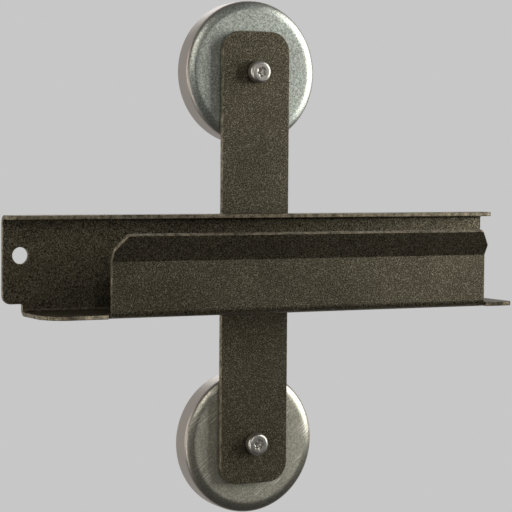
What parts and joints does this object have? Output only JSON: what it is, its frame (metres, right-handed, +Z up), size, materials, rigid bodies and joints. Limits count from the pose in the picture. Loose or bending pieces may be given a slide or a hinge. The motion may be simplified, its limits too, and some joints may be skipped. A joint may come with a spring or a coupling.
{
  "type": "sliding door roller carrier",
  "caption": "Sliding barn door carrier: a flat strap with ball bearing rollers above and below a flat rail, and a bent sheet channel that holds the door panel's edge.",
  "frame": {"origin": "middle of the rail space: on the rollers' mid plane, midway between the two axles", "axes": "+X runs along the rail and the channel, +Y points to the rear (rail side), so the front with the screw heads faces -Y, and +Z is up"},
  "size_m": [0.288, 0.072, 0.277],
  "materials": {
    "powder_coat": "fine textured dark bronze powder coat",
    "roller_steel": "turned and zinc plated, satin",
    "bright_screw": "bright plated",
    "zinc_plate": "zinc plated",
    "spring_steel": "oiled spring steel",
    "bearing_steel": "ground",
    "ball_steel": "polished",
    "cage_steel": "pressed, satin",
    "shield_steel": "pressed, satin",
    "nylon": "natural nylon"
  },
  "bodies": {
    "carrier": {"strap": "powder_coat", "channel": "powder_coat", "channel_rivets": "powder_coat", "axle_screws": "bright_screw", "axle_spring_washers": "spring_steel", "axle_washers": "zinc_plate", "axle_lock_nuts": "zinc_plate", "axle_nut_inserts": "nylon", "upper_axle_sleeve": "zinc_plate", "upper_bearing_inner_ring": "bearing_steel", "lower_axle_sleeve": "zinc_plate", "lower_bearing_inner_ring": "bearing_steel"},
    "upper_wheel": {"upper_roller": "roller_steel", "upper_bearing_outer_ring": "bearing_steel", "upper_bearing_front_shield": "shield_steel", "upper_bearing_rear_shield": "shield_steel", "upper_retaining_ring": "spring_steel"},
    "upper_ball_set": {"upper_bearing_balls": "ball_steel", "upper_bearing_cage": "cage_steel"},
    "lower_wheel": {"lower_roller": "roller_steel", "lower_bearing_outer_ring": "bearing_steel", "lower_bearing_front_shield": "shield_steel", "lower_bearing_rear_shield": "shield_steel", "lower_retaining_ring": "spring_steel"},
    "lower_ball_set": {"lower_bearing_balls": "ball_steel", "lower_bearing_cage": "cage_steel"}
  },
  "joints": [
    {"name": "upper_wheel_spin", "type": "hinge", "parent": "carrier", "child": "upper_wheel", "pos_m": [0, 0, 0.1], "axis": [0, 1, 0], "continuous": true},
    {"name": "upper_ball_set_spin", "type": "hinge", "parent": "carrier", "child": "upper_ball_set", "pos_m": [0, 0, 0.1], "axis": [0, 1, 0], "continuous": true},
    {"name": "lower_wheel_spin", "type": "hinge", "parent": "carrier", "child": "lower_wheel", "pos_m": [0, 0, -0.1], "axis": [0, 1, 0], "continuous": true},
    {"name": "lower_ball_set_spin", "type": "hinge", "parent": "carrier", "child": "lower_ball_set", "pos_m": [0, 0, -0.1], "axis": [0, 1, 0], "continuous": true}
  ],
  "couplings": [
    {"joint": "upper_ball_set_spin", "follows": "upper_wheel_spin", "ratio": 0.6322},
    {"joint": "lower_ball_set_spin", "follows": "lower_wheel_spin", "ratio": 0.6322}
  ]
}
